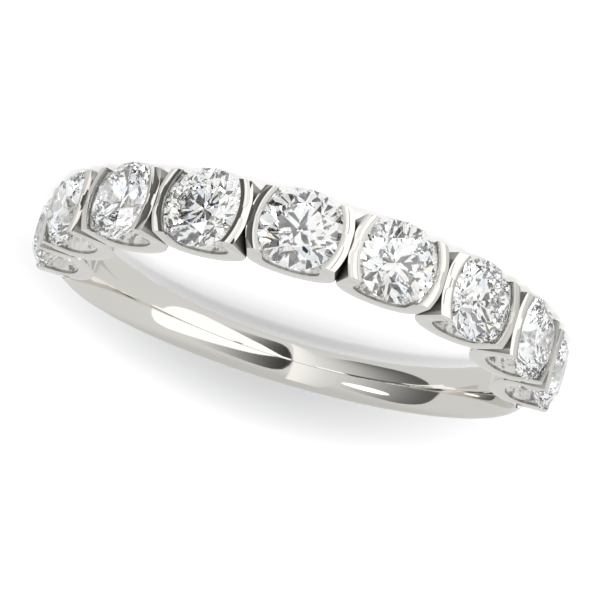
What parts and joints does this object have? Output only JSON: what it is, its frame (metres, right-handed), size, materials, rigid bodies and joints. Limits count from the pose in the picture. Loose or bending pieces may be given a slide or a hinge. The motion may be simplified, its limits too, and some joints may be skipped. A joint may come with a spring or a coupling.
{
  "type": "bar set ring band",
  "caption": "Slim ring with a row of round brilliants, each held between two curved bars, on a plain rounded shank.",
  "frame": {"origin": "centre of the circle that the stones stand on, halfway between the ring's two flat sides, in the middle of the finger hole", "axes": "+Z along the finger and up as the ring lies on its side; -Y out through the middle stone; +X towards stone_1"},
  "size_m": [0.021, 0.0202, 0.003],
  "materials": {
    "metal": "polished white gold",
    "stone": "colourless faceted brilliant"
  },
  "bodies": {
    "root": {"band": "metal", "stone_1": "stone", "stone_2": "stone", "stone_3": "stone", "stone_4": "stone", "stone_5": "stone", "stone_6": "stone", "stone_7": "stone", "stone_8": "stone", "stone_9": "stone"}
  },
  "joints": []
}
